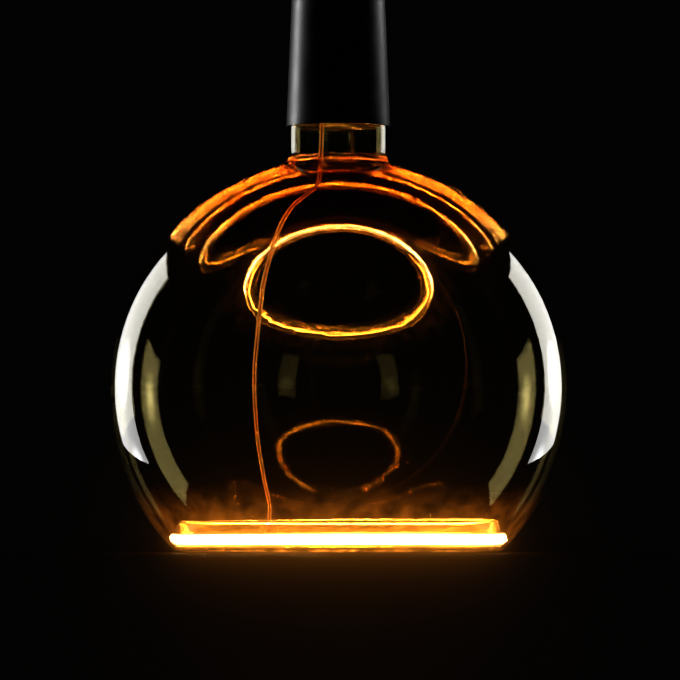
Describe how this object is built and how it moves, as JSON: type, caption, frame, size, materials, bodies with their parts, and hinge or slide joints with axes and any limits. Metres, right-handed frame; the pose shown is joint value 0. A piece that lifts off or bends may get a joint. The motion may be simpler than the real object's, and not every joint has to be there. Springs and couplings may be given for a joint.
{
  "type": "led globe bulb",
  "caption": "Large clear glass globe bulb with a flat bottom, a ring of LEDs inside it, a tapered driver housing and a screw cap.",
  "frame": {"origin": "centre of the globe's flat glass bottom, on the surface that the bulb stands on", "axes": "+Z along the bulb's axis, from the flat bottom up through the neck to the screw cap; -Y faces the viewer, and the lead runs down at the back left"},
  "size_m": [0.2, 0.2, 0.279],
  "materials": {
    "tinted_glass": "blown soda-lime glass with a thin gold coating, polished",
    "clear_silicone": "clear soft silicone, satin",
    "phosphor_silicone": "silicone filled with yellow phosphor, which glows warm white when lit",
    "flex_polyimide": "white coated flexible circuit",
    "led_package": "moulded LED package",
    "copper": "bare copper wire",
    "solder": "tin solder",
    "black_powder_coat": "fine matt black powder coat on drawn aluminium",
    "black_moulding": "moulded PBT, fine satin",
    "white_moulding": "moulded PBT",
    "grommet_silicone": "soft moulded silicone",
    "neck_cement": "set cement, rough",
    "circuit_board": "glass fibre laminate with green solder mask",
    "dark_component": "moulded epoxy",
    "film_component": "dipped and cast epoxy",
    "blue_component": "dipped epoxy",
    "ferrite": "sintered ferrite",
    "wire_insulation_brown": "silicone insulation",
    "wire_insulation_blue": "silicone insulation",
    "nickel_plate": "nickel-plated brass sheet",
    "black_glass": "fused black glass",
    "brass": "stamped brass"
  },
  "bodies": {
    "root": {"glass_globe": "tinted_glass", "carrier_ring": "clear_silicone", "flex_board": "flex_polyimide", "led_chips": "led_package", "phosphor_coat": "phosphor_silicone", "flex_tail": "flex_polyimide", "solder_joints": "solder", "adhesive_beads": "clear_silicone", "lead_jacket": "clear_silicone", "lead_core_left": "copper", "lead_core_right": "copper", "neck_plug": "white_moulding", "lead_grommet": "grommet_silicone", "neck_cement": "neck_cement", "outer_sleeve": "black_powder_coat", "inner_liner": "white_moulding", "driver_board": "circuit_board", "output_connector": "white_moulding", "bulk_capacitor": "dark_component", "film_capacitor": "film_component", "varistor": "blue_component", "fusible_resistor": "dark_component", "bridge_rectifier": "dark_component", "driver_chip": "dark_component", "power_transistor": "dark_component", "filter_choke": "ferrite", "chip_resistors": "dark_component", "transformer_core": "ferrite", "transformer_bobbin": "white_moulding", "transformer_winding": "copper", "board_solder": "solder", "live_wire": "wire_insulation_brown", "neutral_wire": "wire_insulation_blue", "crown": "black_moulding", "screw_shell": "nickel_plate", "shell_insulator": "black_glass", "centre_contact": "brass", "contact_solder": "solder"}
  },
  "joints": []
}
